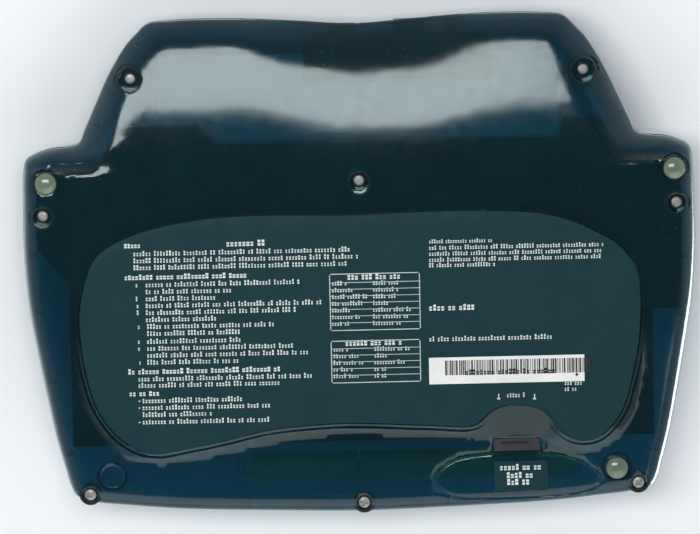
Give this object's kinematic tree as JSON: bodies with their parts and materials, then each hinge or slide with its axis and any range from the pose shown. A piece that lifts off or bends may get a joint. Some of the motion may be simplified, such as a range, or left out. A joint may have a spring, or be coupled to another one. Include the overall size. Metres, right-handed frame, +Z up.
{
  "type": "electronic word processor",
  "caption": "Slab-shaped electronic word processor in see-through teal plastic, with keyboard, raised display and battery door on its labelled underside.",
  "frame": {"origin": "middle of the footprint, on the plane that the feet rest on", "axes": "+Z up with the keys up, +Y towards the rear edge with the display, +X to the right of a person typing"},
  "size_m": [0.311, 0.233, 0.0445],
  "materials": {
    "case_plastic": "see-through teal plastic, glossy",
    "window_plastic": "smoked clear plastic",
    "screen_glass": "liquid crystal panel, grey-green",
    "metal": "plain sheet steel",
    "screw_metal": "nickel-plated",
    "board_green": "green circuit board",
    "chip_black": "moulded epoxy",
    "socket_black": "black moulded plastic",
    "frame_black": "black moulded plastic",
    "dome_rubber": "translucent silicone rubber",
    "membrane_film": "polyester film",
    "key_grey": "fine matt texture",
    "key_teal": "fine matt texture",
    "cell_green": "heat-shrunk sleeve",
    "foot_rubber": "clear elastomer, grey-green over the case",
    "label_teal": "printed film, dark teal",
    "label_white": "white paper sticker",
    "ribbon_film": "flat cable"
  },
  "bodies": {
    "case": {"bottom_case": "case_plastic", "top_case": "case_plastic", "display_window": "window_plastic", "display_glass": "screen_glass", "display_bezel": "metal", "display_board": "board_green", "main_board": "board_green", "port_board": "board_green", "processor_chip": "chip_black", "memory_chip": "chip_black", "usb_socket": "socket_black", "printer_socket": "socket_black", "power_jack": "socket_black", "infrared_window": "window_plastic", "keyboard_frame": "frame_black", "keyboard_backplate": "metal", "membrane_sheet": "membrane_film", "dome_sheet": "dome_rubber", "battery_cell_1": "cell_green", "battery_cell_2": "cell_green", "battery_cell_3": "cell_green", "battery_spring": "metal", "battery_contact": "metal", "guide_label": "label_teal", "serial_label": "label_white", "hump_screw_1": "screw_metal", "hump_screw_2": "screw_metal", "rear_screw_1": "screw_metal", "rear_screw_2": "screw_metal", "rear_screw_3": "screw_metal", "front_screw_1": "screw_metal", "front_screw_2": "screw_metal", "front_screw_3": "screw_metal", "rear_left_foot": "foot_rubber", "rear_right_foot": "foot_rubber", "front_right_foot": "foot_rubber", "keyboard_ribbon": "ribbon_film", "display_ribbon": "ribbon_film"},
    "door": {"battery_door": "case_plastic", "door_label": "label_teal"},
    "modifier_keys_body": {"modifier_keys": "key_grey"},
    "space_bar_body": {"space_bar": "key_teal"},
    "left_arrow_key_body": {"left_arrow_key": "key_teal"},
    "down_arrow_key_body": {"down_arrow_key": "key_teal"},
    "up_arrow_key_body": {"up_arrow_key": "key_teal"},
    "right_arrow_key_body": {"right_arrow_key": "key_teal"},
    "left_shift_key_body": {"left_shift_key": "key_teal"},
    "lower_letter_keys_body": {"lower_letter_keys": "key_grey"},
    "right_shift_key_body": {"right_shift_key": "key_teal"},
    "caps_lock_key_body": {"caps_lock_key": "key_teal"},
    "home_letter_keys_body": {"home_letter_keys": "key_grey"},
    "return_key_body": {"return_key": "key_teal"},
    "tab_key_body": {"tab_key": "key_teal"},
    "upper_letter_keys_body": {"upper_letter_keys": "key_grey"},
    "number_keys_body": {"number_keys": "key_grey"},
    "delete_key_body": {"delete_key": "key_teal"},
    "on_off_key_body": {"on_off_key": "key_teal"},
    "file_keys_body": {"file_keys": "key_teal"},
    "command_keys_body": {"command_keys": "key_teal"},
    "send_key_body": {"send_key": "key_teal"}
  },
  "joints": [
    {"name": "door_hinge", "type": "hinge", "parent": "case", "child": "door", "pos_m": [-0.0735, -0.11009, 0.0041], "axis": [-1, 0, 0], "range_deg": [0, 75]},
    {"name": "modifier_press", "type": "slide", "parent": "case", "child": "modifier_keys_body", "axis": [0, 0.0436, -0.999], "range_m": [0, 0.003], "stiffness_N_per_m": 600, "springref_m": -0.002},
    {"name": "space_bar_press", "type": "slide", "parent": "case", "child": "space_bar_body", "axis": [0, 0.0436, -0.999], "range_m": [0, 0.003], "stiffness_N_per_m": 260, "springref_m": -0.002},
    {"name": "left_arrow_press", "type": "slide", "parent": "case", "child": "left_arrow_key_body", "axis": [0, 0.0436, -0.999], "range_m": [0, 0.003], "stiffness_N_per_m": 200, "springref_m": -0.002},
    {"name": "down_arrow_press", "type": "slide", "parent": "case", "child": "down_arrow_key_body", "axis": [0, 0.0436, -0.999], "range_m": [0, 0.003], "stiffness_N_per_m": 200, "springref_m": -0.002},
    {"name": "up_arrow_press", "type": "slide", "parent": "case", "child": "up_arrow_key_body", "axis": [0, 0.0436, -0.999], "range_m": [0, 0.003], "stiffness_N_per_m": 200, "springref_m": -0.002},
    {"name": "right_arrow_press", "type": "slide", "parent": "case", "child": "right_arrow_key_body", "axis": [0, 0.0436, -0.999], "range_m": [0, 0.003], "stiffness_N_per_m": 200, "springref_m": -0.002},
    {"name": "left_shift_press", "type": "slide", "parent": "case", "child": "left_shift_key_body", "axis": [0, 0.0436, -0.999], "range_m": [0, 0.003], "stiffness_N_per_m": 200, "springref_m": -0.002},
    {"name": "lower_letter_press", "type": "slide", "parent": "case", "child": "lower_letter_keys_body", "axis": [0, 0.0436, -0.999], "range_m": [0, 0.003], "stiffness_N_per_m": 2000, "springref_m": -0.002},
    {"name": "right_shift_press", "type": "slide", "parent": "case", "child": "right_shift_key_body", "axis": [0, 0.0436, -0.999], "range_m": [0, 0.003], "stiffness_N_per_m": 200, "springref_m": -0.002},
    {"name": "caps_lock_press", "type": "slide", "parent": "case", "child": "caps_lock_key_body", "axis": [0, 0.0436, -0.999], "range_m": [0, 0.003], "stiffness_N_per_m": 200, "springref_m": -0.002},
    {"name": "home_letter_press", "type": "slide", "parent": "case", "child": "home_letter_keys_body", "axis": [0, 0.0436, -0.999], "range_m": [0, 0.003], "stiffness_N_per_m": 2200, "springref_m": -0.002},
    {"name": "return_press", "type": "slide", "parent": "case", "child": "return_key_body", "axis": [0, 0.0436, -0.999], "range_m": [0, 0.003], "stiffness_N_per_m": 200, "springref_m": -0.002},
    {"name": "tab_press", "type": "slide", "parent": "case", "child": "tab_key_body", "axis": [0, 0.0436, -0.999], "range_m": [0, 0.003], "stiffness_N_per_m": 200, "springref_m": -0.002},
    {"name": "upper_letter_press", "type": "slide", "parent": "case", "child": "upper_letter_keys_body", "axis": [0, 0.0436, -0.999], "range_m": [0, 0.003], "stiffness_N_per_m": 2600, "springref_m": -0.002},
    {"name": "number_press", "type": "slide", "parent": "case", "child": "number_keys_body", "axis": [0, 0.0436, -0.999], "range_m": [0, 0.003], "stiffness_N_per_m": 2600, "springref_m": -0.002},
    {"name": "delete_press", "type": "slide", "parent": "case", "child": "delete_key_body", "axis": [0, 0.0436, -0.999], "range_m": [0, 0.003], "stiffness_N_per_m": 200, "springref_m": -0.002},
    {"name": "on_off_press", "type": "slide", "parent": "case", "child": "on_off_key_body", "axis": [0, 0.0436, -0.999], "range_m": [0, 0.003], "stiffness_N_per_m": 200, "springref_m": -0.002},
    {"name": "file_press", "type": "slide", "parent": "case", "child": "file_keys_body", "axis": [0, 0.0436, -0.999], "range_m": [0, 0.003], "stiffness_N_per_m": 1600, "springref_m": -0.002},
    {"name": "command_press", "type": "slide", "parent": "case", "child": "command_keys_body", "axis": [0, 0.0436, -0.999], "range_m": [0, 0.003], "stiffness_N_per_m": 800, "springref_m": -0.002},
    {"name": "send_press", "type": "slide", "parent": "case", "child": "send_key_body", "axis": [0, 0.0436, -0.999], "range_m": [0, 0.003], "stiffness_N_per_m": 200, "springref_m": -0.002}
  ]
}
